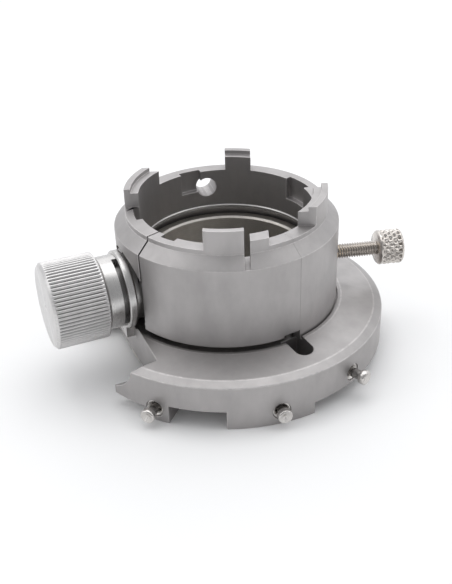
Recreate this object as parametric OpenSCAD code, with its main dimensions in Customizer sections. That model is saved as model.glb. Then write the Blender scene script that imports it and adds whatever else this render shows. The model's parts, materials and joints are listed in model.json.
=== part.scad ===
// Watch case press: a castellated base ring carries a split holder drum whose front
// jaw is eased open by a cam on the side knob. A thumb screw steadies the case and
// three spring pins lock the ring onto the tabs of a press.
// Origin: drum axis, on the plane the feet stand on. Front is -Y, up is +Z.
// Azimuths are degrees from the front, positive towards +X.

/* [Base ring] */
// Outside diameter of the base ring
base_d = 82.6; // [74:0.2:100]
// Height of the ring's outer top edge above the feet
base_h = 12.9; // [12:0.1:18]
// Height of the ring's plain underside above the feet
underside_h = 3.8; // [3.6:0.1:4.4]
// Height of the outer skirt above the feet
skirt_h = 3.2; // [2.4:0.1:3.4]
// Height of the deep front notch above the feet
front_notch_h = 5.1; // [4.2:0.1:5.6]
// Radial thickness of the skirt and feet
skirt_wall = 6.2; // [5.4:0.1:7.4]

/* [Holder drum] */
// Outside diameter of the drum
drum_d = 58; // [56:0.2:70]
// Bore that takes the watch case
bore_d = 44.5; // [42.6:0.1:46]
// Height of the drum's shoulder above the feet
shoulder_h = 36.4; // [36:0.1:46]
// Height of the cone from the shoulder to the rim
cone_h = 2.7; // [1:0.1:5]
// Height of the straight rim above the cone
rim_h = 1.2; // [0.6:0.1:3]
// Thickness of the rim wall
rim_wall = 3.7; // [3:0.1:4.4]
// Height of the lugs' inner ledge above the rim
ledge_h = 3.8; // [2:0.1:6]
// Height of the lugs' outer lip above their ledge
lip_h = 1.1; // [0.5:0.1:2]
// Thickness of the lugs' outer lip
lip_wall = 1.7; // [1:0.1:2.2]
// Width of the saw slit between jaw and drum
slit_w = 0.5; // [0.4:0.05:0.8]

/* [Guide sleeve] */
// Bore of the sleeve under the drum
sleeve_bore_d = 41.6; // [34.6:0.1:42]
// Height of the sleeve's top edge above the feet
sleeve_top_h = 26.5; // [26:0.1:27.2]

/* [Side knob] */
// Azimuth of the knob's axis
knob_az = -66.8; // [-72:0.1:-64]
// Height of the knob's axis above the feet
knob_h = 22.6; // [22:0.1:24]
// Diameter over the knurl
knob_d = 22.1; // [19:0.1:26]
// Length of the knob along its axis
knob_len = 13.7; // [10:0.1:20]
// Number of flutes in the straight knurl
knob_flutes = 72; // [48:1:80]
// Sideways throw of the cam
cam_throw = 0.15; // [0.05:0.01:0.2]

/* [Thumb screw] */
// Azimuth of the thumb screw
screw_az = 98; // [92:1:104]
// Height of the thumb screw's axis above the feet
screw_h = 23.1; // [21:0.1:23.4]
// Outside diameter of the thread
screw_d = 4; // [3:0.5:5]
// Thread pitch
screw_pitch = 0.7; // [0.5:0.1:0.8]
// Length of thread showing outside the drum
screw_out = 11.7; // [6:0.1:15]
// Diameter of the knurled head
head_d = 9.4; // [8:0.1:12]
// Length of the knurled head
head_len = 6.9; // [5:0.1:12]

/* [Spring pins] */
// Diameter of the pins' stems
pin_d = 2.4; // [2:0.1:2.6]
// Diameter of the pull heads
pin_head_d = 3.7; // [3.4:0.1:4.4]
// Length of the pull heads
pin_head_len = 1.7; // [1.2:0.1:2.4]
// Pull travel of each pin
pin_travel = 1.5; // [0.5:0.1:2]

/* [Fits] */
// Radial clearance of turning and sliding fits
run_clear = 0.04; // [0.02:0.01:0.08]
// Radial clearance of seated parts
seat_clear = 0.05; // [0.03:0.01:0.1]

/* [Hidden] */
$fn = 96;

// Radii and levels shared by several pieces
eps = 0.01;
base_r = base_d / 2;
drum_r = drum_d / 2;
bore_r = bore_d / 2;
rim_r = bore_r + rim_wall;
rim_top = shoulder_h + cone_h + rim_h;
ledge_top = rim_top + ledge_h;
lug_top = ledge_top + lip_h;
sleeve_bore_r = sleeve_bore_d / 2;
sleeve_r = sleeve_bore_r + 2.8;
skirt_in_r = base_r - skirt_wall;

// Base ring top: a bevel, a shallow cone, a narrow land and the drum's recess
bevel_w = 2.2;
bevel_h = 0.9;
land_top = base_h + 1.4;
land_w = 1.0;
recess_r = drum_r + 0.4;
recess_floor = land_top - 1.0;

// Feet as [start azimuth, span]
feet = [[-30, 8.4], [-1.8, 31.3], [105, 32], [165, 30], [222, 30]];
front_notch = [-21.6, 19.8];

// Drum inside: the bore ends at a wider chamber round the sleeve
chamber_r = sleeve_r + 0.8;
chamber_top = 28.6;
chamber_cone = 0.6;
slit_az = -48;
seam_az = 37;
seam_w = 0.05;
jaw_gap = 2.0;
jaw_bottom = recess_floor + jaw_gap;

// Lugs, cut by planes square to X and Y
left_lug_y = [-0.6, 13.4];
right_lug_y = [-14.1, 0];
back_lug_x = [0, 7.1];
front_lug_x = [-5.6, 3.95];
front_slot_w = 1.35;
front_block_w = 4.5;
front_block_h = 2.1;
front_slot_depth = 3.9;

// Pockets round the rim as [start azimuth, span], and the sight hole
pockets = [[-88, 18], [-42, 10], [112, 20], [-162, 15]];
pocket_deep = 1.55;
pocket_floor = shoulder_h - 2;
sight_az = -166.2;
sight_h = 35.4;
sight_d = 5.4;

// Snap ring in the bore
snap_ring_h = 29.4;
snap_wire = 0.9;

// Window in the drum wall round the knob's parts
window_r = 11.2;
cam_window_r = 9.0;
cam_window_end = drum_r - 1.8;
window_mouth_w = 12.4;
scoop_half_w = 15.7;
scoop_side_r = 7.9;
scoop_side_x = 13.4;
scoop_side_h = 13.1;
face_d = drum_r - 0.4;

// Radial relief slot in the base and its notch in the jaw
relief_az = 32.6;
relief_w = 5;
relief_in_r = drum_r - 1.6;
relief_end_r = (drum_r + base_r) / 2 + 0.45;
relief_notch = 0.65;

// Jaw pivot
pivot_az = 34.2;
pivot_r = (chamber_r + relief_in_r) / 2;
pivot_d = 2;
pivot_top = 24;

// Boss, as distances from the drum axis along the knob's axis
flange_r = 10.2;
flange_end = face_d + 2.1;
groove_w = 1.2;
boss_r = 9.4;
boss_end = face_d + 6.8;
boss_hole_d = 6;
groove_depth = 1.8;
groove_from = -38;
groove_to = 86;
stop_slot_w = 1.4;
stop_from = -38;
stop_to = 86;
saddle_w = 8.4;
saddle_bottom = recess_floor - 2.9;
knob_start = boss_end + 0.4;

// Shaft and cam
shaft_d = boss_hole_d - 2 * run_clear;
pilot_d = 4;
pilot_end = sleeve_bore_r + 0.5;
shaft_start = sleeve_r + 0.15;
cam_r = 8.55;
cam_start = max(chamber_r, bore_r + snap_wire) + 0.15;
cam_end = face_d - 0.4;
stop_pin_d = 1.0;
stop_reach = boss_r - 2.8;
cross_pin_d = 1.5;
grub_d = 3;
grub_angle = -37;
grub_at = 4;

// Thumb screw and its bush
screw_bush_d = screw_d + 2.4;
thread_depth = 0.35;
spigot_d = screw_d - 0.3;
nose_d = 2.4;
head_cone = 0.6;
tip_start = sleeve_bore_r + 0.1;
tip_len = 2.4;
tip_d = 4.6;
tip_window_d = tip_d + 0.4;

// Spring pins as azimuth, height and how far the head's middle stands off the ring
pins = [[-27, 3.4, 2.8], [17, 3.6, 1.6], [47.5, 6.1, 3.3]];
pin_nose_in = pin_travel - 0.1;
pin_collar_d = 3.2;
pin_collar_len = 1.0;
pin_bush_d = 4.5;
pin_bush_len = 1.6;
pin_recess = 0.35;
pin_spring_wire = 0.4;
pin_dimple = 0.75;
tab_pocket_w = 4.4;
tab_pocket_in = 0.3;
tab_pocket_up = 2.1;
tab_pocket_span = 11;

steel = [0.72, 0.71, 0.71];
satin = [0.66, 0.65, 0.65];
dark_steel = [0.25, 0.25, 0.27];
bright = [0.83, 0.82, 0.8];
brass = [0.78, 0.66, 0.4];

// ---- helpers ----

// Children drawn along +Z are turned to point outwards at azimuth az, height h,
// starting dist from the drum axis; local X is sideways and local Y is up
module outward(az, h, dist = 0) {
    rotate([0, 0, az]) translate([0, -dist, h]) rotate([90, 0, 0]) children();
}

// Upright ring sector between two radii and two levels, from azimuth a0 over span
module sector(r_in, r_out, z0, z1, a0, span) {
    translate([0, 0, z0]) rotate([0, 0, a0 - 90])
        rotate_extrude(angle = span) translate([r_in, 0]) square([r_out - r_in, z1 - z0]);
}

// Tube standing on z = 0
module tube(r_out, r_in, h) {
    difference() {
        cylinder(h = h, r = r_out);
        translate([0, 0, -1]) cylinder(h = h + 2, r = r_in);
    }
}

// Countersunk screw: head top at z = 0, shank pointing up, hexagon socket in the head
module flat_screw(d, len, head) {
    sink = (head - d) / 2;
    difference() {
        union() {
            cylinder(h = sink, r1 = head / 2, r2 = d / 2);
            cylinder(h = len, r = d / 2);
        }
        translate([0, 0, -eps]) cylinder(h = sink + 0.4, r = d * 0.28, $fn = 6);
    }
}

// Hole for a flat_screw, mouth at z = 0
module flat_screw_hole(d, len, head) {
    sink = (head - d) / 2;
    translate([0, 0, -eps])
        cylinder(h = sink + eps, r1 = head / 2 + seat_clear, r2 = d / 2 + seat_clear);
    cylinder(h = len + 0.3, r = d / 2 + seat_clear);
    translate([0, 0, -3]) cylinder(h = 3 - eps, r = head / 2 + seat_clear);
}

// ---- base ring ----

drum_screw_az = [70, 150, 205, 262];
drum_screw_r = (chamber_r + drum_r) / 2;
drum_screw_d = 2.5;
drum_screw_head = 4.7;
drum_screw_len = 15;
sleeve_screw_az = [20, 110, 180, 235];
flange_rim_r = sleeve_r + 4.4;
flange_t = 2;
sleeve_screw_r = sleeve_r + 2.4;
sleeve_screw_d = 2;
sleeve_screw_head = 3.8;
sleeve_screw_len = 5.6;

module base_blank() {
    rotate_extrude()
        polygon([[sleeve_r + seat_clear, underside_h], [skirt_in_r, underside_h],
                 [skirt_in_r, 0], [base_r, 0], [base_r, base_h - bevel_h],
                 [base_r - bevel_w, base_h], [recess_r + land_w, land_top],
                 [recess_r, land_top], [recess_r, recess_floor],
                 [sleeve_r + seat_clear, recess_floor]]);
}

module skirt_cut(a0, span, h) {
    sector(skirt_in_r - 1, base_r + 1, -1, h, a0, span);
}

module relief_slot(z0, z1) {
    rotate([0, 0, relief_az]) {
        translate([-relief_w / 2, -relief_end_r + relief_w / 2, z0])
            cube([relief_w, relief_end_r - relief_w / 2 - relief_in_r, z1 - z0]);
        translate([0, -relief_end_r + relief_w / 2, z0]) cylinder(h = z1 - z0, d = relief_w);
    }
}

// Room for the knob, with a rounded wall on each side
module knob_scoop() {
    outward(knob_az, 0, face_d) {
        translate([-scoop_half_w, -1, 0]) cube([2 * scoop_half_w, knob_h, base_d]);
        for (s = [-1, 1])
            translate([s * scoop_side_x, scoop_side_h, 0]) cylinder(h = base_d, r = scoop_side_r);
    }
}

module drum_screw_places() {
    for (a = drum_screw_az)
        rotate([0, 0, a]) translate([0, -drum_screw_r, underside_h]) children();
}

module sleeve_screw_places() {
    for (a = sleeve_screw_az)
        rotate([0, 0, a]) translate([0, -sleeve_screw_r, underside_h - flange_t]) children();
}

module pin_bore(p) {
    outward(p[0], p[1], skirt_in_r - 3) cylinder(h = skirt_wall + 4, d = pin_d + 2 * run_clear);
    sector(skirt_in_r + tab_pocket_in - tab_pocket_w, skirt_in_r + tab_pocket_in, -1, p[1] + tab_pocket_up,
           p[0] - tab_pocket_span / 2, tab_pocket_span);
    outward(p[0], p[1], pin_collar_at() - seat_clear)
        cylinder(h = skirt_wall, d = pin_collar_d + 2 * run_clear);
    outward(p[0], p[1], base_r - pin_recess - pin_bush_len)
        cylinder(h = skirt_wall, d = pin_bush_d + 2 * seat_clear);
}

module base_ring() {
    color(steel) difference() {
        base_blank();
        for (i = [0 : len(feet) - 1]) {
            a0 = feet[i][0] + feet[i][1];
            a1 = i + 1 < len(feet) ? feet[i + 1][0] : feet[0][0] + 360;
            skirt_cut(a0, a1 - a0, skirt_h);
        }
        skirt_cut(front_notch[0], front_notch[1], front_notch_h);
        knob_scoop();
        relief_slot(0, base_h + 4);
        drum_screw_places() flat_screw_hole(drum_screw_d, drum_screw_len, drum_screw_head);
        sleeve_screw_places() cylinder(h = sleeve_screw_len + 0.3, r = sleeve_screw_d / 2 + seat_clear);
        rotate([0, 0, pivot_az]) translate([0, -pivot_r, underside_h - 1])
            cylinder(h = 20, r = pivot_d / 2 + run_clear);
        boss_screw_places() flat_screw_hole(boss_screw_d, boss_screw_len, boss_screw_head);
        for (p = pins) pin_bore(p);
    }
}

// ---- guide sleeve and its screws ----

module guide_sleeve() {
    chamfer = 0.5;
    bottom = underside_h - flange_t;
    color(satin) difference() {
        rotate_extrude()
            polygon([[sleeve_bore_r, bottom + chamfer], [sleeve_bore_r + chamfer, bottom],
                     [flange_rim_r, bottom], [flange_rim_r, underside_h],
                     [sleeve_r, underside_h], [sleeve_r, sleeve_top_h - 0.3],
                     [sleeve_r - 0.3, sleeve_top_h], [sleeve_bore_r + chamfer, sleeve_top_h],
                     [sleeve_bore_r, sleeve_top_h - chamfer]]);
        sleeve_screw_places() flat_screw_hole(sleeve_screw_d, sleeve_screw_len, sleeve_screw_head);
        outward(knob_az, knob_h, sleeve_bore_r - 3) cylinder(h = 12, d = pilot_d + 2 * run_clear);
        outward(screw_az, screw_h, sleeve_bore_r - 3) cylinder(h = 12, d = tip_window_d);
    }
}

module sleeve_screws() {
    color(dark_steel) sleeve_screw_places() flat_screw(sleeve_screw_d, sleeve_screw_len, sleeve_screw_head);
}

// ---- drum ----

module lug_blank(r_out) {
    lip_r = r_out - lip_wall;
    rotate_extrude()
        polygon([[bore_r, rim_top - eps], [r_out, rim_top - eps], [r_out, lug_top],
                 [lip_r, lug_top], [lip_r, ledge_top], [bore_r, ledge_top]]);
}

// Whole ring of lug section kept only inside a block
module lug(x, y) {
    intersection() {
        lug_blank(rim_r);
        translate([x[0], y[0], rim_top - 1]) cube([x[1] - x[0], y[1] - y[0], lug_top]);
    }
}

module drum_blank() {
    rotate_extrude()
        polygon([[bore_r, rim_top], [rim_r, rim_top], [rim_r, rim_top - rim_h],
                 [drum_r, shoulder_h], [drum_r, recess_floor], [chamber_r, recess_floor],
                 [chamber_r, chamber_top - chamber_cone], [bore_r, chamber_top]]);
    lug([-rim_r - 1, 0], left_lug_y);
    lug([0, rim_r + 1], right_lug_y);
    lug(back_lug_x, [0, rim_r + 1]);
    lug(front_lug_x, [-rim_r - 1, 0]);
    block_x = front_lug_x[1] + front_slot_w;
    intersection() {
        tube_at(rim_r, bore_r, rim_top - eps, rim_top + front_block_h);
        translate([block_x, -rim_r - 1, rim_top - 1]) cube([front_block_w, rim_r, lug_top]);
    }
}

module tube_at(r_out, r_in, z0, z1) {
    translate([0, 0, z0]) tube(r_out, r_in, z1 - z0);
}

module drum_cuts() {
    for (p = pockets)
        sector(bore_r - 2, bore_r + pocket_deep, pocket_floor, rim_top + 1, p[0], p[1]);
    outward(sight_az, sight_h, bore_r - 4) cylinder(h = drum_r, d = sight_d);
    translate([front_lug_x[1], -drum_r - 1, rim_top - front_slot_depth])
        cube([front_slot_w, drum_r - bore_r + 9, lug_top]);
    outward(knob_az, knob_h, cam_window_end) cylinder(h = drum_r, r = window_r);
    outward(knob_az, knob_h, chamber_r - 0.3) cylinder(h = drum_r, r = cam_window_r);
    outward(knob_az, knob_h, chamber_r - 1)
        translate([-window_mouth_w / 2, -knob_h, 0]) cube([window_mouth_w, knob_h, drum_r]);
}

// Level where the slit runs into the window
slit_off = drum_r * sin(slit_az - knob_az);
slit_end_h = knob_h + sqrt(max(0, pow(window_r, 2) - pow(slit_off, 2)));

module snap_groove() {
    translate([0, 0, snap_ring_h])
        rotate_extrude() translate([bore_r + 0.1, 0]) circle(d = snap_wire + 2 * seat_clear, $fn = 24);
}

jaw_span = seam_az - slit_az;

module drum_shell() {
    color(steel) difference() {
        drum_blank();
        drum_cuts();
        sector(bore_r - 3, drum_r + 3, recess_floor - 1, lug_top + 1, slit_az, jaw_span);
        sector(bore_r - 3, drum_r + 3, recess_floor - 1, slit_end_h, knob_az, slit_az - knob_az + 1);
        drum_screw_places() cylinder(h = drum_screw_len + 0.3, r = drum_screw_d / 2 + seat_clear);
        outward(screw_az, screw_h, chamber_r - 3) cylinder(h = 20, d = screw_bush_d + 2 * seat_clear);
        snap_groove();
    }
}

module drum_screws() {
    color(dark_steel) drum_screw_places() flat_screw(drum_screw_d, drum_screw_len, drum_screw_head);
}

module bore_snap_ring() {
    ring_gap = 20;
    color(bright) translate([0, 0, snap_ring_h]) rotate([0, 0, seam_az + ring_gap / 2 - 90])
        rotate_extrude(angle = 360 - jaw_span - ring_gap)
            translate([bore_r + 0.1, 0]) circle(d = snap_wire, $fn = 24);
}

// ---- jaw and its pivot ----

module jaw_pivot_at(z) {
    rotate([0, 0, pivot_az]) translate([0, -pivot_r, z]) children();
}

module clamp_jaw() {
    slit_angle = slit_w / drum_r * 180 / PI;
    seam_angle = seam_w / drum_r * 180 / PI;
    color(steel) difference() {
        intersection() {
            drum_blank();
            sector(bore_r - 2, drum_r + 2, jaw_bottom, lug_top + 1,
                   slit_az + slit_angle, jaw_span - slit_angle - seam_angle);
        }
        drum_cuts();
        relief_slot(jaw_bottom - 1, jaw_bottom + relief_notch);
        jaw_pivot_at(jaw_bottom - 1) cylinder(h = pivot_top - jaw_bottom + 1.5, d = pivot_d + 2 * run_clear);
        tube_at(bore_r + 1, bore_r - 3, snap_ring_h - 0.8, snap_ring_h + 0.8);
    }
}

module jaw_pivot_pin() {
    color(bright) jaw_pivot_at(underside_h + 0.2) cylinder(h = pivot_top - underside_h - 0.2, d = pivot_d);
}

// ---- knob boss ----

boss_screw_d = 1.6;
boss_screw_head = 2.6;
boss_screw_x = 2.4;
boss_screw_at = sleeve_r + 0.7;
boss_screw_h = recess_floor - 1.5;
boss_screw_len = flange_end - 0.5 - boss_screw_at;

module boss_screw_places() {
    for (s = [-1, 1])
        outward(knob_az, boss_screw_h, boss_screw_at) translate([s * boss_screw_x, 0, 0]) children();
}

module boss_outline() {
    rotate_extrude()
        polygon([[boss_hole_d / 2, 0], [flange_r - 0.4, 0], [flange_r, 0.4],
                 [flange_r, flange_end - face_d - 0.3], [flange_r - 0.3, flange_end - face_d],
                 [boss_r, flange_end - face_d], [boss_r, boss_end - face_d - 0.3],
                 [boss_r - 0.3, boss_end - face_d], [boss_hole_d / 2, boss_end - face_d]]);
}

// Shallow groove round the visible side of the neck, next to the flange
module neck_groove() {
    translate([0, 0, flange_end - face_d]) rotate([0, 0, groove_from])
        rotate_extrude(angle = groove_to - groove_from)
            translate([boss_r - groove_depth, 0]) square([groove_depth + 2, groove_w]);
}

// Arc pocket in the face behind the knob, in which the stop pin turns
module stop_pocket() {
    half_pin = 14;
    r_in = boss_hole_d / 2 - 1;
    translate([0, 0, boss_end - face_d - stop_slot_w]) rotate([0, 0, stop_from - half_pin])
        rotate_extrude(angle = stop_to - stop_from + 2 * half_pin)
            translate([r_in, 0]) square([stop_reach + 0.4 - r_in, stop_slot_w + 1]);
}

module knob_boss() {
    color(bright) difference() {
        outward(knob_az, knob_h, face_d) union() {
            boss_outline();
            translate([-saddle_w / 2, saddle_bottom - knob_h, 0])
                cube([saddle_w, boss_r - 4, flange_end - face_d]);
        }
        outward(knob_az, knob_h, face_d) {
            neck_groove();
            stop_pocket();
            translate([0, 0, -1]) cylinder(h = 12, d = boss_hole_d);
        }
        boss_screw_places() cylinder(h = boss_screw_len + 0.3, r = boss_screw_d / 2 + seat_clear);
    }
}

module boss_screws() {
    color(dark_steel) boss_screw_places() flat_screw(boss_screw_d, boss_screw_len, boss_screw_head);
}

// ---- knob, shaft and cam ----

knob_r = knob_d / 2;
knob_chamfer = 0.7;

module knob_grip() {
    flute_d = 0.62;
    edge = 0.45;
    color(steel) outward(knob_az, knob_h, knob_start) difference() {
        rotate_extrude()
            polygon([[0, 0], [knob_r - edge, 0], [knob_r, edge], [knob_r, knob_len - knob_chamfer],
                     [knob_r - knob_chamfer, knob_len], [0, knob_len]]);
        translate([0, 0, -1]) cylinder(h = knob_len - 3, d = shaft_d + 2 * seat_clear);
        translate([0, 0, knob_len - 0.5]) cylinder(h = 1, r1 = 0.1, r2 = 0.9);
        for (i = [0 : knob_flutes - 1])
            rotate([0, 0, (i + 0.5) * 360 / knob_flutes]) translate([knob_r, 0, -1])
                cylinder(h = knob_len - knob_chamfer + 0.4, d = flute_d, $fn = 4);
        rotate([0, 0, grub_angle]) translate([0, 0, grub_at]) rotate([90, 0, 0])
            cylinder(h = knob_r + 2, d = grub_d + 2 * seat_clear);
    }
}

module knob_grub_screw() {
    color(dark_steel) outward(knob_az, knob_h, knob_start)
        rotate([0, 0, grub_angle]) translate([0, 0, grub_at]) rotate([90, 0, 0])
            difference() {
                translate([0, 0, shaft_d / 2]) cylinder(h = knob_r - shaft_d / 2 - 0.9, d = grub_d);
                translate([0, 0, knob_r - 3]) cylinder(h = 4, d = 1.7, $fn = 6);
            }
}

module knob_shaft() {
    color(steel) outward(knob_az, knob_h) difference() {
        union() {
            translate([0, 0, pilot_end]) cylinder(h = shaft_start - pilot_end + eps, d = pilot_d);
            translate([0, 0, shaft_start])
                cylinder(h = knob_start + knob_len - 4.2 - shaft_start, d = shaft_d);
        }
        translate([0, 0, (cam_start + cam_end) / 2]) rotate([90, 0, 0])
            cylinder(h = 20, d = cross_pin_d + 2 * seat_clear, center = true);
        translate([0, 0, stop_at]) rotate([0, 0, stop_angle]) rotate([0, 90, 0])
            cylinder(h = 10, d = stop_pin_d + 2 * seat_clear);
    }
}

stop_angle = stop_from + 6;
stop_at = boss_end - stop_slot_w / 2;

module stop_pin() {
    color(bright) outward(knob_az, knob_h) translate([0, 0, stop_at])
        rotate([0, 0, stop_angle]) rotate([0, 90, 0])
            translate([0, 0, 0.4]) cylinder(h = stop_reach - 0.4, d = stop_pin_d);
}

module cam_disc() {
    color(dark_steel) outward(knob_az, knob_h, cam_start) difference() {
        translate([-cam_throw, 0, 0]) cylinder(h = cam_end - cam_start, r = cam_r);
        translate([0, 0, -1]) cylinder(h = cam_end - cam_start + 2, d = shaft_d + 2 * seat_clear);
        translate([0, 0, (cam_end - cam_start) / 2]) rotate([90, 0, 0])
            cylinder(h = 30, d = cross_pin_d + 2 * seat_clear, center = true);
    }
}

module cam_cross_pin() {
    color(bright) outward(knob_az, knob_h, (cam_start + cam_end) / 2)
        rotate([90, 0, 0]) cylinder(h = 2 * cam_r - 1.6, d = cross_pin_d, center = true);
}

module thrust_washer() {
    color(brass) outward(knob_az, knob_h, cam_end + 0.05)
        tube(7, boss_hole_d / 2 + 0.1, face_d - cam_end - 0.1);
}

module knob_wave_washer() {
    color(bright) outward(knob_az, knob_h, boss_end + 0.05)
        tube(7.5, boss_hole_d / 2 + 0.2, knob_start - boss_end - 0.1);
}

// ---- thumb screw ----

module screw_bush() {
    color(brass) outward(screw_az, screw_h, chamber_r + 0.05) difference() {
        cylinder(h = drum_r - chamber_r - 0.45, d = screw_bush_d);
        translate([0, 0, -1]) cylinder(h = 12, d = screw_d + 2 * run_clear);
    }
}

screw_start = tip_start + tip_len - 1;
thread_end = drum_r + screw_out;
groove_count = floor((thread_end - screw_start - 1.5) / screw_pitch);

module thumb_screw() {
    color(bright) outward(screw_az, screw_h) difference() {
        union() {
            translate([0, 0, screw_start]) cylinder(h = 1.6, d = nose_d);
            translate([0, 0, screw_start + 1.5])
                cylinder(h = thread_end - screw_start - 1.5, d = screw_d);
            translate([0, 0, thread_end - eps])
                cylinder(h = head_len - 2, d = spigot_d);
        }
        for (i = [0 : groove_count - 1])
            translate([0, 0, screw_start + 1.7 + i * screw_pitch])
                rotate_extrude($fn = 48)
                    polygon([[screw_d / 2 - thread_depth, screw_pitch * 0.45],
                             [screw_d / 2 + 0.1, screw_pitch * 0.05],
                             [screw_d / 2 + 0.1, screw_pitch * 0.85]]);
    }
}

module screw_head() {
    head_r = head_d / 2;
    color(bright) outward(screw_az, screw_h, thread_end) difference() {
        rotate_extrude()
            polygon([[0, 0], [head_r - head_cone, 0], [head_r, head_cone],
                     [head_r, head_len - 0.7], [head_r - 0.7, head_len], [0, head_len]]);
        translate([0, 0, -1]) cylinder(h = head_len - 0.5, d = spigot_d + 2 * seat_clear);
    }
}

// Swivel pad on the screw's nose; it slides without turning
module screw_tip() {
    color(brass) outward(screw_az, screw_h, tip_start) difference() {
        rotate_extrude()
            polygon([[0, 0], [tip_d / 2 - 0.4, 0], [tip_d / 2, 0.4], [tip_d / 2, tip_len],
                     [0, tip_len]]);
        translate([0, 0, tip_len - 1.2]) cylinder(h = 2, d = nose_d + 2 * run_clear);
    }
}

// ---- spring pins ----

function pin_collar_at() = skirt_in_r + 0.6;

module pin_bushes() {
    color(bright) for (p = pins)
        outward(p[0], p[1], base_r - pin_recess - pin_bush_len) difference() {
            cylinder(h = pin_bush_len, d = pin_bush_d);
            translate([0, 0, -1]) cylinder(h = pin_bush_len + 2, d = pin_d + 2 * run_clear);
            translate([0, 0, pin_bush_len - 0.5])
                cylinder(h = 1, r1 = pin_d / 2 + run_clear, r2 = pin_d / 2 + 1.2);
        }
}

module spring_pin(p) {
    nose = skirt_in_r - pin_nose_in;
    head_at = base_r + p[2] - pin_head_len / 2;
    head_end = head_at + pin_head_len;
    color(bright) outward(p[0], p[1]) rotate_extrude()
        polygon([[0, nose], [pin_d / 2 - 0.5, nose], [pin_d / 2, nose + 0.5],
                 [pin_d / 2, pin_collar_at()], [pin_collar_d / 2, pin_collar_at()],
                 [pin_collar_d / 2, pin_collar_at() + pin_collar_len],
                 [pin_d / 2, pin_collar_at() + pin_collar_len], [pin_d / 2, head_at],
                 [pin_head_d / 2 - 0.3, head_at], [pin_head_d / 2, head_at + 0.3],
                 [pin_head_d / 2, head_end - 0.25], [pin_head_d / 2 - 0.25, head_end],
                 [0, head_end - pin_dimple]]);
}

module pin_spring(p) {
    spring_at = pin_collar_at() + pin_collar_len + 0.02;
    spring_len = base_r - pin_recess - pin_bush_len - spring_at - 0.02;
    color(dark_steel) outward(p[0], p[1], spring_at)
        tube(pin_collar_d / 2, pin_collar_d / 2 - pin_spring_wire + 0.05, spring_len);
}

module pin_left() { spring_pin(pins[0]); }
module pin_front() { spring_pin(pins[1]); }
module pin_right() { spring_pin(pins[2]); }
module pin_spring_left() { pin_spring(pins[0]); }
module pin_spring_front() { pin_spring(pins[1]); }
module pin_spring_right() { pin_spring(pins[2]); }

base_ring();
guide_sleeve();
sleeve_screws();
drum_shell();
drum_screws();
bore_snap_ring();
clamp_jaw();
jaw_pivot_pin();
knob_boss();
boss_screws();
knob_grip();
knob_shaft();
cam_disc();
cam_cross_pin();
stop_pin();
thrust_washer();
knob_wave_washer();
knob_grub_screw();
screw_bush();
thumb_screw();
screw_head();
screw_tip();
pin_bushes();
pin_left();
pin_front();
pin_right();
pin_spring_left();
pin_spring_front();
pin_spring_right();
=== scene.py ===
"""Looks of the watch case press: finished meshes, metal finishes and a plain studio."""
import json
import math

import bmesh
import bpy
from mathutils import Matrix, Vector


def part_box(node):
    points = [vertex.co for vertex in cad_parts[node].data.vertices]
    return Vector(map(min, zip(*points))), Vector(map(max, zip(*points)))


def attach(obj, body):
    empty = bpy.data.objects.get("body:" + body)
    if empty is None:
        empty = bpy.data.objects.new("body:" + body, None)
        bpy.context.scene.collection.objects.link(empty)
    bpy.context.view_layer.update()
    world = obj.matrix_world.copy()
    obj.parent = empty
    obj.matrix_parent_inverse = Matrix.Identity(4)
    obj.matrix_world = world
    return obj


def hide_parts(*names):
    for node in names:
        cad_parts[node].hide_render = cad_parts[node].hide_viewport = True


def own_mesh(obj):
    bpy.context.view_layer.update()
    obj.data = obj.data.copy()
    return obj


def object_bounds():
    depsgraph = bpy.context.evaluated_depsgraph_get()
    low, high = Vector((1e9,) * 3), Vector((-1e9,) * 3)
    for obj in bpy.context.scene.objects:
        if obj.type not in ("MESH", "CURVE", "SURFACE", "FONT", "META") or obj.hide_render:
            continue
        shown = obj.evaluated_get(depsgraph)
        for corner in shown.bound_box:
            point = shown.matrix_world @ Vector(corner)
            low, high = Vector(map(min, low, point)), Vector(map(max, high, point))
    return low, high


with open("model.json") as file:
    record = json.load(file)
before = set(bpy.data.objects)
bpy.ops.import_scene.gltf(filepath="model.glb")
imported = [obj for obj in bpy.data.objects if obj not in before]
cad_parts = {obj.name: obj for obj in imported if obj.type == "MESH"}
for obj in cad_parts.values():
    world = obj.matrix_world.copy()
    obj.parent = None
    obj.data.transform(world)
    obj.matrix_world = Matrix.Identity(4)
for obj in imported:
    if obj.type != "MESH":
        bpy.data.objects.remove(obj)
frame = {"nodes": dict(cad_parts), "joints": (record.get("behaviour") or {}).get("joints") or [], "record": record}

CAD_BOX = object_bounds()
MM = 0.001
TAU = 2 * math.pi

# how strongly the sky lights the object from the camera's side and from behind it
WORLD_FRONT, WORLD_BACK = 0.42, 1.0
# an edge is broken if its faces turn by more than this
HARD_TURN = math.radians(24)
# where two upward slopes meet, this turn is enough, if they differ by SLOPE_STEP
SLOPE_TURN = math.radians(5)
SLOPE_STEP = 0.012
# edges within this angle of the hairline seam by the jaw stay sharp
SEAM_REACH = 0.006
# a face whose normal's level part is under LEVEL is flat, over ROUND it faces the axis
LEVEL, ROUND = 0.02, 0.985

NODE_BODY = {n: b for b, ns in frame["record"]["behaviour"]["bodies"].items() for n in ns}
JOINTS = {j["name"]: j for j in frame["joints"]}


# ---- materials ----

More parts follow.
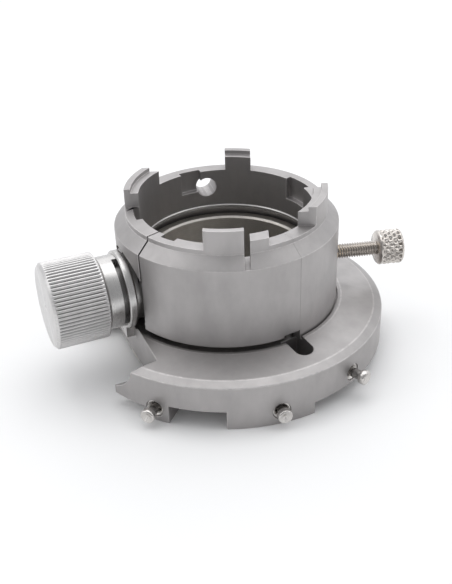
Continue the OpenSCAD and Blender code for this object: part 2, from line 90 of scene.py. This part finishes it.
class Graph:
    """Short names for building one node material."""

    def __init__(self, name):
        self.mat = bpy.data.materials.new(name)
        self.mat.use_nodes = True
        self.tree = self.mat.node_tree
        self.shader = self.tree.nodes["Principled BSDF"]
        self.coords = self.node("ShaderNodeTexCoord").outputs["Object"]

    def node(self, kind, **inputs):
        n = self.tree.nodes.new(kind)
        for key, value in inputs.items():
            self.put(n.inputs[key], value)
        return n

    def put(self, socket, value):
        if isinstance(value, bpy.types.NodeSocket):
            self.tree.links.new(value, socket)
        else:
            socket.default_value = value

    def noise(self, scale, detail=3.0, rough=0.6, vector=None, stretch=None):
        source = vector or self.coords
        if stretch:
            source = self.node("ShaderNodeMapping", Vector=source, Scale=stretch).outputs[0]
        return self.node("ShaderNodeTexNoise", Vector=source, Scale=scale, Detail=detail,
                         Roughness=rough).outputs["Fac"]

    def remap(self, value, low, high, to_low, to_high):
        n = self.node("ShaderNodeMapRange")
        n.inputs["From Min"].default_value = low
        n.inputs["From Max"].default_value = high
        n.inputs["To Min"].default_value = to_low
        n.inputs["To Max"].default_value = to_high
        self.put(n.inputs["Value"], value)
        return n.outputs["Result"]

    def math(self, op, a, b=0.0):
        n = self.node("ShaderNodeMath")
        n.operation = op
        self.put(n.inputs[0], a)
        self.put(n.inputs[1], b)
        return n.outputs[0]

    def mix(self, factor, a, b):
        n = self.node("ShaderNodeMix")
        n.data_type = "RGBA"
        self.put(n.inputs["Factor"], factor)
        self.put(n.inputs[6], a)
        self.put(n.inputs[7], b)
        return n.outputs[2]

    def bump(self, height, strength, distance, normal=None):
        n = self.node("ShaderNodeBump", Strength=strength, Distance=distance, Height=height)
        if normal:
            self.put(n.inputs["Normal"], normal)
        return n.outputs["Normal"]

    def edges(self, low, high):
        """Rises from 0 to 1 on worn convex edges."""
        point = self.node("ShaderNodeNewGeometry").outputs["Pointiness"]
        return self.remap(point, low, high, 0.0, 1.0)

    def hollows(self, low, high):
        """Rises from 0 to 1 in the bottom of grooves."""
        point = self.node("ShaderNodeNewGeometry").outputs["Pointiness"]
        return self.remap(point, low, high, 1.0, 0.0)


def shade(rgb, factor):
    return (*[min(1.0, c * factor) for c in rgb], 1.0)


def blasted(name, rgb, rough=0.46, grain=0.22):
    """Bead-blasted steel: fine pitted grain, faint clouding and slightly brighter broken edges, partly wear and
    partly a painted highlight.
    """
    g = Graph(name)
    cloud = g.noise(95.0, 4.0)
    smear = g.noise(240.0, 3.0, stretch=(1.0, 1.0, 0.35))
    tone = g.math("MULTIPLY", g.math("ADD", cloud, smear), 0.5)
    base = g.mix(g.remap(tone, 0.36, 0.64, 0.0, 1.0), shade(rgb, 0.93), shade(rgb, 1.05))
    # painted highlight: bevel faces are lightened in the base colour, partly as rubbed wear and partly standing in
    # for the light they catch
    broken = g.node("ShaderNodeAttribute")
    broken.attribute_name = "edge_wear_and_highlight"
    patchy = g.remap(g.noise(700.0), 0.35, 0.6, 0.3, 1.0)
    lightened_edges = g.math("MULTIPLY", broken.outputs["Fac"], patchy)
    g.put(g.shader.inputs["Base Color"], g.mix(lightened_edges, base, shade(rgb, 1.28)))
    g.put(g.shader.inputs["Roughness"], g.remap(tone, 0.35, 0.65, rough + 0.035, rough - 0.035))
    g.shader.inputs["Metallic"].default_value = 1.0
    pits = g.bump(g.noise(4200.0, 2.0, 0.5), grain, 0.03 * MM)
    g.put(g.shader.inputs["Normal"], g.bump(g.noise(1300.0, 2.0), grain * 0.4, 0.03 * MM, pits))
    return g.mat


def turned(name, rgb, rough, axis_frame, line=9000.0, depth=0.25, groove_shade_tone=0.45):
    """Lathe-turned metal: fine tool lines round the part's own axis and painted shade in its grooves."""
    g = Graph(name)
    local = axis_frame.inverted()
    turn = g.node("ShaderNodeMapping", Vector=g.coords)
    turn.inputs["Rotation"].default_value = local.to_euler()
    turn.inputs["Location"].default_value = local.translation
    split = g.node("ShaderNodeSeparateXYZ", Vector=turn.outputs[0])
    x2 = g.math("MULTIPLY", split.outputs[0], split.outputs[0])
    y2 = g.math("MULTIPLY", split.outputs[1], split.outputs[1])
    radius = g.math("SQRT", g.math("ADD", x2, y2))
    along = g.math("ADD", split.outputs[2], radius)
    lines = g.node("ShaderNodeTexNoise")
    lines.noise_dimensions = "1D"
    lines.inputs["Scale"].default_value = line
    lines.inputs["Detail"].default_value = 2.0
    g.put(lines.inputs["W"], along)
    cloud = g.noise(420.0, 3.0)
    tone = g.math("MULTIPLY", g.math("ADD", cloud, lines.outputs["Fac"]), 0.5)
    base = g.mix(g.remap(tone, 0.35, 0.65, 0.0, 1.0), shade(rgb, 0.90), shade(rgb, 1.07))
    lightened_edges = g.mix(g.edges(0.52, 0.62), base, shade(rgb, 1.2))
    groove_shade_attr = g.node("ShaderNodeAttribute")
    groove_shade_attr.attribute_name = "groove_shade_paint"
    # painted shade: the base colour darkens in the bottoms of grooves and on the marked boss groove
    groove_shade_mask = g.math("MAXIMUM", g.hollows(0.40, 0.485), groove_shade_attr.outputs["Fac"])
    g.put(g.shader.inputs["Base Color"], g.mix(groove_shade_mask, lightened_edges, shade(rgb, groove_shade_tone)))
    g.put(g.shader.inputs["Roughness"], g.remap(tone, 0.35, 0.65, rough + 0.05, rough - 0.04))
    g.shader.inputs["Metallic"].default_value = 1.0
    g.put(g.shader.inputs["Normal"], g.bump(lines.outputs["Fac"], depth, 0.02 * MM))
    return g.mat


def coated(name, rgb, rough=0.38):
    """Black oxide screws, with rubbed edges."""
    g = Graph(name)
    cloud = g.noise(900.0, 3.0)
    base = g.mix(g.remap(cloud, 0.35, 0.65, 0.0, 1.0), shade(rgb, 0.8), shade(rgb, 1.3))
    g.put(g.shader.inputs["Base Color"], g.mix(g.edges(0.53, 0.62), base, (0.4, 0.39, 0.38, 1.0)))
    g.put(g.shader.inputs["Roughness"], g.remap(cloud, 0.35, 0.65, rough + 0.06, rough - 0.06))
    g.shader.inputs["Metallic"].default_value = 1.0
    g.put(g.shader.inputs["Normal"], g.bump(g.noise(5000.0, 2.0), 0.12, 0.02 * MM))
    return g.mat


# ---- places ----

def radial_frame(direction, height):
    """Local X is sideways, Y is up and Z points outwards from the drum axis."""
    out = Vector(direction).normalized()
    up = Vector((0, 0, 1))
    side = up.cross(out)
    turn = Matrix((side, up, out)).transposed().to_4x4()
    return Matrix.Translation((0, 0, height)) @ turn


def mid_height(node):
    low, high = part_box(node)
    return (low.z + high.z) / 2


def reach(node, place):
    """Nearest and furthest distance of a node along its frame's Z, and its greatest radius."""
    points = seen_from(place, node)
    heights = [p.z for p in points]
    return min(heights), max(heights), max(math.hypot(p.x, p.y) for p in points)


def seen_from(place, node):
    """A CAD node's points in a frame's own coordinates."""
    inv = place.inverted()
    return [inv @ v.co for v in frame["nodes"][node].data.vertices]


KNOB = radial_frame(JOINTS["knob_turn"]["axis"], JOINTS["knob_turn"]["pos_m"][2])
THUMB = radial_frame([-c for c in JOINTS["thumb_turn"]["axis"]],
                     JOINTS["thumb_turn"]["pos_m"][2])
PINS = {side: radial_frame(JOINTS[f"pin_{side}_pull"]["axis"], mid_height(f"pin_{side}"))
        for side in ("left", "front", "right")}
UPRIGHT = Matrix.Identity(4)


# ---- mesh helpers ----

def new_object(name, bm, place=UPRIGHT, sharp=math.radians(32), weld=True):
    if weld:
        bmesh.ops.remove_doubles(bm, verts=bm.verts, dist=1e-7)
    bmesh.ops.recalc_face_normals(bm, faces=bm.faces)
    bm.transform(place)
    mesh = bpy.data.meshes.new(name)
    bm.to_mesh(mesh)
    bm.free()
    mesh.shade_smooth()
    mesh.set_sharp_from_angle(angle=sharp)
    obj = bpy.data.objects.new(name, mesh)
    bpy.context.scene.collection.objects.link(obj)
    return obj


def dress(obj, node, material):
    """obj stands for a CAD node: it takes its place, its body and its finish."""
    obj.data.materials.clear()
    obj.data.materials.append(material)
    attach(obj, NODE_BODY[node])
    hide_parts(node)
    return obj


def paint(node, material):
    """A CAD node that keeps its own shape."""
    mesh = frame["nodes"][node].data
    mesh.materials.clear()
    mesh.materials.append(material)


def shade_groove(obj):
    """Painted shade darkens the floor and walls of the arc groove in the boss's neck."""
    inv = KNOB.inverted()
    far = reach("knob_boss", KNOB)[1]
    centres = [inv @ f.center for f in obj.data.polygons]
    neck = max(math.hypot(p.x, p.y) for p in centres if p.z > far - 2 * MM)
    groove_start, groove_end = far - 4.9 * MM, far - 3.2 * MM
    shallow, deep = 0.08 * MM, 2.2 * MM
    # faces of the groove are marked for painted shade
    shade_layer = obj.data.attributes.new("groove_shade_paint", "FLOAT", "FACE")
    for face, p in zip(shade_layer.data, centres):
        below = shallow < neck - math.hypot(p.x, p.y) < deep
        face.value = 1.0 if below and groove_start < p.z < groove_end else 0.0


def jaw_edge():
    """Azimuth from the front at which the jaw meets the fixed shell."""
    points = [v.co for v in frame["nodes"]["clamp_jaw"].data.vertices]
    outer_wall = 0.97 * max(math.hypot(p.x, p.y) for p in points)
    return max(math.atan2(p.x, -p.y) for p in points if math.hypot(p.x, p.y) > outer_wall)


SEAM = jaw_edge()


def is_hard(edge):
    """Whether an edge is one that a finisher would break."""
    if len(edge.link_faces) != 2:
        return False
    one, two = (f.normal for f in edge.link_faces)
    turn = one.angle(two, 0)
    slopes_meet = min(one.z, two.z) > 0.5 and abs(one.z - two.z) > SLOPE_STEP
    return turn >= HARD_TURN or (slopes_meet and turn > SLOPE_TURN)


def on_seam(edge):
    return all(abs(math.atan2(v.co.x, -v.co.y) - SEAM) < SEAM_REACH for v in edge.verts)


def eased(node, width, material):
    """The CAD node's own shape with its hard edges broken, but for the seam by the jaw."""
    bm = bmesh.new()
    bm.from_mesh(frame["nodes"][node].data)
    bmesh.ops.remove_doubles(bm, verts=bm.verts, dist=0.02 * MM)
    bmesh.ops.dissolve_degenerate(bm, edges=bm.edges, dist=0.005 * MM)
    bmesh.ops.dissolve_limit(bm, angle_limit=math.radians(0.4), verts=bm.verts, edges=bm.edges)
    bmesh.ops.recalc_face_normals(bm, faces=bm.faces)
    has_seam = node in ("clamp_jaw", "drum_shell")
    hard = [e for e in bm.edges if is_hard(e) and not (has_seam and on_seam(e))]
    bright_edge_layer = bm.faces.layers.float.new("edge_wear_and_highlight")
    rounds = bmesh.ops.bevel(bm, geom=hard, offset=width, segments=2, profile=0.6,
                             affect="EDGES", clamp_overlap=False)
    # bevel faces are marked for the lightened edge colour, part wear and part painted highlight
    for face in rounds["faces"]:
        face[bright_edge_layer] = 1.0
    obj = new_object(node + "_finished", bm, sharp=math.radians(20), weld=False)
    true_round(obj.data)
    return dress(obj, node, material)


def true_round(mesh):
    """Exact normals for every surface turned about Z, and flat ones for level faces."""
    normals = [Vector(c.vector) for c in mesh.corner_normals]
    for face in mesh.polygons:
        n = face.normal
        sideways = math.hypot(n.x, n.y)
        if sideways < LEVEL:
            for k in face.loop_indices:
                normals[k] = Vector(n)
            continue
        turned_normals = []
        for k in face.loop_indices:
            p = mesh.vertices[mesh.loops[k].vertex_index].co
            r = math.hypot(p.x, p.y)
            facing = (n.x * p.x + n.y * p.y) / (sideways * r) if r > 0 else 0
            if abs(facing) < ROUND:
                break
            side = math.copysign(sideways / r, facing)
            turned_normals.append((k, Vector((p.x * side, p.y * side, n.z))))
        else:
            for k, normal in turned_normals:
                normals[k] = normal
    mesh.normals_split_custom_set(normals)


def ring(bm, z, count, radius_at):
    """A loop of points about Z; radius_at(angle) is how far out each one stands."""
    loop = []
    for i in range(count):
        a = TAU * i / count
        r = radius_at(a)
        loop.append(bm.verts.new((r * math.cos(a), r * math.sin(a), z)))
    return loop


def skin(bm, loops):
    """Joins equal loops into a closed tube with an end face on each end."""
    count = len(loops[0])
    for low, high in zip(loops, loops[1:]):
        for i in range(count):
            j = (i + 1) % count
            bm.faces.new((low[i], low[j], high[j], high[i]))
    bm.faces.new(list(reversed(loops[0])))
    bm.faces.new(loops[-1])


def revolve(rings, count, lift=None):
    """A turned solid about Z.

    rings are (z, radius), and lift(angle, z, radius) moves a point outwards.
    """
    bm = bmesh.new()
    loops = []
    for z, radius in rings:
        if radius == 0:
            loops.append([bm.verts.new((0, 0, z))])
        elif lift:
            loops.append(ring(bm, z, count, lambda a: radius + lift(a, z, radius)))
        else:
            loops.append(ring(bm, z, count, lambda a: radius))
    for low, high in zip(loops, loops[1:]):
        for i in range(count):
            j = (i + 1) % count
            quad = [low[i % len(low)], low[j % len(low)], high[j % len(high)], high[i % len(high)]]
            corners = list(dict.fromkeys(quad))
            if len(corners) > 2:
                bm.faces.new(corners)
    return bm


def ramp(start, stop, steps):
    return [start + (stop - start) * i / steps for i in range(steps + 1)]


def rounded_end(z, radius, size, steps):
    """Rings of a quarter round that starts level with z and ends size higher."""
    quarter = ramp(0, math.pi / 2, steps)
    return [(z + size * math.sin(a), radius + size * math.cos(a)) for a in quarter]


# ---- the knob ----

def knob_grip(material):
    """Fine straight knurling, a chamfered front edge and a small centre hole."""
    near, far, radius = reach("knob_grip", KNOB)
    flutes, depth, per_flute = 72, 0.34 * MM, 10
    edge, chamfer, dimple = 0.45 * MM, 0.7 * MM, 0.55 * MM
    shaft = reach("knob_shaft", KNOB)[2]
    blind = far - 4 * MM
    run_out, cut_share = 0.5 * MM, 0.66

    def groove(angle, z, r):
        if r < radius - 0.01 * MM:
            return 0
        run = min(1.0, (z - near - edge) / run_out + 0.35, (far - chamfer - z) / run_out + 0.5)
        wave = abs(((angle * flutes / TAU) % 1.0) - 0.5) * 2
        return -depth * max(0.0, run) * max(0.0, 1 - wave / cut_share)

    rings = [(blind, 0), (blind, shaft), (near, shaft), (near, radius - edge)]
    rings += [(near + edge * 0.4, radius - edge * 0.25), (near + edge, radius)]
    rings += [(z, radius) for z in ramp(near + edge + 0.2 * MM, far - chamfer - 0.05 * MM, 26)]
    rings += [(far - chamfer, radius - 0.02 * MM)]
    rings += [(far - 0.12 * MM, radius - chamfer + 0.05 * MM)]
    rings += [(far, radius - chamfer - 0.12 * MM), (far, dimple * 2.2), (far, dimple)]
    rings += [(far - 0.6 * MM, dimple * 0.35), (far - 0.75 * MM, 0)]
    bm = revolve(rings, flutes * per_flute, groove)
    obj = new_object("knob_grip_knurled", bm, KNOB, math.radians(38))
    return dress(obj, "knob_grip", material)


# ---- the thumb screw ----

def thumb_rod(material):
    """A plain tip and neck with a true helical thread between them."""
    near, far, radius = reach("thumb_screw", THUMB)
    pitch, depth, count, per_pitch = 0.7 * MM, 0.42 * MM, 40, 10
    nose, plain = 1.5 * MM, reach("screw_head", THUMB)[0]
    tip, spigot, neck = 1.0 * MM, 1.2 * MM, radius - 0.15 * MM
    start = near + nose
    steps = int((plain - near - nose) / pitch * per_pitch)
    bm = bmesh.new()

    def thread(z, fade):
        def radius_at(a):
            turn = (z / pitch - a / TAU) % 1.0
            flank = min(1.0, max(0.0, (abs(turn - 0.5) * 2 - 0.12) / 0.76))
            cut = depth * (1 - flank) * (0.35 + 0.65 * fade)
            return radius - cut - depth * 0.4 * (1 - fade)
        return radius_at

    loops = [ring(bm, near, count, lambda a: tip)]
    loops += [ring(bm, z, count, lambda a: spigot) for z in (near + 0.2 * MM, start)]
    for k in range(steps + 1):
        z = start + 0.05 * MM + k * pitch / per_pitch
        fade = min(1.0, k / per_pitch, (steps - k) / (per_pitch * 0.5) + 0.05)
        loops.append(ring(bm, z, count, thread(z, fade)))
    last = start + 0.1 * MM + steps * pitch / per_pitch
    loops += [ring(bm, z, count, lambda a: neck) for z in (last, far)]
    skin(bm, loops)
    obj = new_object("thumb_screw_threaded", bm, THUMB, math.radians(50))
    return dress(obj, "thumb_screw", material)


def thumb_head(material):
    """A short head with crossed knurling and a rounded end."""
    near, far, radius = reach("screw_head", THUMB)
    teeth, rows, depth = 16, 2.1, 0.6 * MM
    cone, round_end = 0.6 * MM, 0.7 * MM
    back, front = near + 0.95 * MM, far - 0.75 * MM

    def diamonds(angle, z, r):
        if not back - 0.01 * MM <= z <= front + 0.01 * MM:
            return 0
        around, along = angle * teeth / TAU, (z - back) / (front - back) * rows
        one = abs(((around + along) % 1.0) - 0.5) * 2
        two = abs(((around - along) % 1.0) - 0.5) * 2
        ends = min(1.0, (z - back) / (0.25 * MM) + 0.2, (front - z) / (0.25 * MM) + 0.3)
        cut = max(0.0, 1 - one / 0.8) + max(0.0, 1 - two / 0.8)
        return -depth * 0.6 * cut * ends

    rings = [(near, 0), (near, radius - cone - 0.12 * MM)]
    rings += [(near + 0.1 * MM, radius - cone + 0.06 * MM)]
    rings += [(near + cone - 0.15 * MM, radius - 0.17 * MM), (near + cone + 0.1 * MM, radius)]
    rings += [(z, radius) for z in ramp(back, front, 60)]
    rings += rounded_end(far - round_end, radius - round_end, round_end, 5)
    rings += [(far, 0)]
    bm = revolve(rings, teeth * 12, diamonds)
    obj = new_object("thumb_head_knurled", bm, THUMB, math.radians(60))
    return dress(obj, "screw_head", material)


# ---- pins, bushes and springs ----

def pin(side, material):
    """A stepped pin with a thin collar for its spring and a dished pull head."""
    place = PINS[side]
    node = "pin_" + side
    near, far, head = reach(node, place)
    stem, collar = 1.2 * MM, 1.6 * MM
    collar_at, collar_end = near + 2.0 * MM, near + 2.0 * MM + 1.0 * MM
    head_at = far - 1.7 * MM
    rings = [(near, 0), (near, stem - 0.55 * MM), (near + 0.2 * MM, stem - 0.2 * MM)]
    rings += [(near + 0.5 * MM, stem), (collar_at, stem), (collar_at, collar)]
    rings += [(collar_end, collar), (collar_end, stem)]
    rings += [(head_at, stem), (head_at, head - 0.25 * MM)]
    rings += [(head_at + 0.08 * MM, head - 0.08 * MM), (head_at + 0.28 * MM, head)]
    rings += [(far - 0.26 * MM, head), (far - 0.1 * MM, head - 0.08 * MM)]
    rings += [(far, head - 0.24 * MM), (far - 0.02 * MM, head - 0.34 * MM)]
    rings += [(far - 0.66 * MM, 0.1 * MM), (far - 0.7 * MM, 0)]
    obj = new_object(node + "_turned", revolve(rings, 64), place, math.radians(35))
    return dress(obj, node, material)


def pin_spring(side, material):
    """An open coil between the pin's collar and its bush."""
    place = PINS[side]
    node = "pin_spring_" + side
    near, far, radius = reach(node, place)
    wire, turns, per_turn, sides = 0.16 * MM, 4, 24, 8
    middle = radius - wire - 0.02 * MM
    bm = bmesh.new()
    loops = []
    for k in range(turns * per_turn + 1):
        share = k / (turns * per_turn)
        a = TAU * turns * share
        z = near + wire + (far - near - 2 * wire) * share
        loop = []
        for i in range(sides):
            t = TAU * i / sides
            r = middle + wire * math.cos(t)
            loop.append(bm.verts.new((r * math.cos(a), r * math.sin(a), z + wire * math.sin(t))))
        loops.append(loop)
    skin(bm, loops)
    obj = dress(new_object(node + "_coil", bm, place), node, material)
    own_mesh(obj)
    return obj


def bushes(material):
    """Three bright bushes with a dished mouth round each pin."""
    outer, inner = 2.25 * MM, 1.24 * MM
    joined = bmesh.new()
    for place in PINS.values():
        near, far = bush_span(place)
        rings = [(near, inner), (near, outer - 0.1 * MM), (near + 0.1 * MM, outer)]
        rings += [(far - 0.12 * MM, outer), (far - 0.03 * MM, outer - 0.05 * MM)]
        rings += [(far, outer - 0.14 * MM), (far, outer - 0.3 * MM)]
        rings += [(far - 0.5 * MM, inner + 0.06 * MM), (far - 0.6 * MM, inner)]
        rings += [(near, inner)]
        part = revolve(rings, 64)
        bmesh.ops.remove_doubles(part, verts=part.verts, dist=1e-7)
        part.transform(place)
        mesh = bpy.data.meshes.new("bush_part")
        part.to_mesh(mesh)
        part.free()
        joined.from_mesh(mesh)
        bpy.data.meshes.remove(mesh)
    return dress(new_object("pin_bushes_turned", joined), "pin_bushes", material)


def bush_span(place):
    """Where the bush nearest to a pin starts and ends along that pin."""
    near_axis = 3 * MM
    points = seen_from(place, "pin_bushes")
    own = [p.z for p in points if math.hypot(p.x, p.y) < near_axis and p.z > 0]
    return min(own), max(own)


# ---- studio ----

def floor():
    """A plain pale sheet just under the feet."""
    bm = bmesh.new()
    bmesh.ops.create_grid(bm, x_segments=2, y_segments=2, size=12.0)
    under_feet = Matrix.Translation((0, 0, CAD_BOX[0].z - 0.02 * MM))
    sheet = new_object("studio_floor", bm, under_feet)
    paper = Graph("pale_paper")
    tone = paper.noise(30.0, 2.0)
    paper.put(paper.shader.inputs["Base Color"],
              paper.mix(tone, (0.945, 0.945, 0.945, 1.0), (0.96, 0.96, 0.96, 1.0)))
    paper.shader.inputs["Roughness"].default_value = 0.9
    paper.shader.inputs["Specular IOR Level"].default_value = 0.1
    sheet.data.materials.append(paper.mat)


def sky():
    """Even light that is stronger from behind the object than from in front of it."""
    world = bpy.data.worlds.new("studio")
    bpy.context.scene.world = world
    world.use_nodes = True
    tree = world.node_tree
    back = tree.nodes["Background"]
    back.inputs["Color"].default_value = (0.97, 0.98, 1.0, 1.0)
    around = tree.nodes.new("ShaderNodeTexCoord")
    split = tree.nodes.new("ShaderNodeSeparateXYZ")
    tree.links.new(around.outputs["Generated"], split.inputs[0])
    fade = tree.nodes.new("ShaderNodeMapRange")
    fade.interpolation_type = "SMOOTHSTEP"
    fade.inputs["From Min"].default_value = -0.8
    fade.inputs["From Max"].default_value = 0.75
    fade.inputs["To Min"].default_value = WORLD_FRONT
    fade.inputs["To Max"].default_value = WORLD_BACK
    tree.links.new(split.outputs["Y"], fade.inputs["Value"])
    tree.links.new(fade.outputs["Result"], back.inputs["Strength"])


def softbox(name, azimuth, elevation, distance, size, power):
    """An area light that looks at the drum; azimuth runs from the front."""
    light = bpy.data.lights.new(name, "AREA")
    light.shape = "RECTANGLE"
    light.size, light.size_y = size
    light.energy = power
    obj = bpy.data.objects.new(name, light)
    a, e = math.radians(azimuth), math.radians(elevation)
    away = Vector((math.sin(a) * math.cos(e), -math.cos(a) * math.cos(e), math.sin(e)))
    obj.location = away * distance + Vector((0, 0, 0.02))
    obj.rotation_mode = "QUATERNION"
    obj.rotation_quaternion = away.to_track_quat("Z", "Y")
    bpy.context.scene.collection.objects.link(obj)


def studio():
    floor()
    sky()
    softbox("overhead", 180, 76, 0.75, (0.8, 0.6), 2.1)
    softbox("back_panel", 180, 34, 0.8, (0.9, 0.35), 0.55)
    softbox("left_panel", -80, 36, 0.7, (0.3, 0.6), 0.75)
    softbox("right_panel", 85, 34, 0.7, (0.3, 0.6), 0.5)


def camera():
    """The photograph's viewing angle, which looks down on the drum from the front."""
    data = bpy.data.cameras.new("camera")
    data.sensor_fit = "AUTO"
    data.sensor_width = 36.0
    focal_px, long_side = 858.6, 584
    data.lens = data.sensor_width * focal_px / long_side
    obj = bpy.data.objects.new("camera", data)
    bpy.context.scene.collection.objects.link(obj)
    obj.location = Vector((0.21, -201.11, 133.77)) * MM
    down, yaw, roll = (math.radians(v) for v in (30.826, -0.263, -1.784))
    look = Vector((math.cos(down) * math.sin(yaw), math.cos(down) * math.cos(yaw),
                   -math.sin(down)))
    level = look.cross(Vector((0, 0, 1))).normalized()
    upright = level.cross(look)
    right = math.cos(roll) * level + math.sin(roll) * upright
    up = math.cos(roll) * upright - math.sin(roll) * level
    obj.rotation_mode = "QUATERNION"
    obj.rotation_quaternion = Matrix((right, up, -look)).transposed().to_quaternion()
    data.clip_start, data.clip_end = 0.01, 10.0
    bpy.context.scene.camera = obj


def dress_all():
    """Each node gets its finish; those listed last keep their CAD shape."""
    blast = blasted("blasted_steel", (0.43, 0.415, 0.412), 0.5)
    # the sleeve's steel is lighter and warmer than its own tone: a painted reflection of floor light seen up the
    # bore
    sleeve = turned("satin_steel", (0.66, 0.63, 0.59), 0.5, UPRIGHT, 7000.0, 0.3)
    knob = turned("turned_steel_knob", (0.60, 0.59, 0.585), 0.36, KNOB, depth=0.13, groove_shade_tone=0.3)
    bright = turned("turned_steel_ring", (0.60, 0.59, 0.58), 0.3, UPRIGHT)
    thumb = turned("polished_thumb_steel", (0.60, 0.565, 0.53), 0.24, THUMB, 11000.0, 0.15, 0.2)
    brass = turned("turned_brass", (0.72, 0.52, 0.27), 0.3, THUMB)
    oxide_and_shade_black = coated("black_oxide_and_painted_shade", (0.05, 0.05, 0.053))

    for node, width in (("base_ring", 0.22), ("drum_shell", 0.14), ("clamp_jaw", 0.14)):
        eased(node, width * MM, blast)
    eased("guide_sleeve", 0.08 * MM, sleeve)
    boss = turned("turned_steel_boss", (0.58, 0.57, 0.56), 0.3, KNOB, groove_shade_tone=0.3)
    shade_groove(eased("knob_boss", 0.05 * MM, boss))
    knob_grip(knob)
    thumb_rod(thumb)
    thumb_head(thumb)
    for side, place in PINS.items():
        pin(side, turned(f"polished_pin_{side}", (0.60, 0.58, 0.56), 0.22, place, 11000.0, 0.2))
        pin_spring(side, turned(f"spring_wire_{side}", (0.5, 0.48, 0.46), 0.3, place))
    bushes(turned("polished_bush", (0.58, 0.56, 0.54), 0.26, PINS["front"]))

    for material, nodes in (
        # the screws are black oxide; cam_disc takes the same black as painted shade, darkening the gap behind the
        # boss flange
        (oxide_and_shade_black, ("sleeve_screws", "drum_screws", "boss_screws", "cam_disc", "knob_grub_screw")),
        (bright, ("bore_snap_ring", "jaw_pivot_pin")),
        (knob, ("cam_cross_pin", "stop_pin", "knob_shaft", "knob_wave_washer")),
        (brass, ("thrust_washer", "screw_bush", "screw_tip")),
    ):
        for node in nodes:
            paint(node, material)


bpy.context.scene.view_settings.view_transform = "Standard"
dress_all()
studio()
camera()
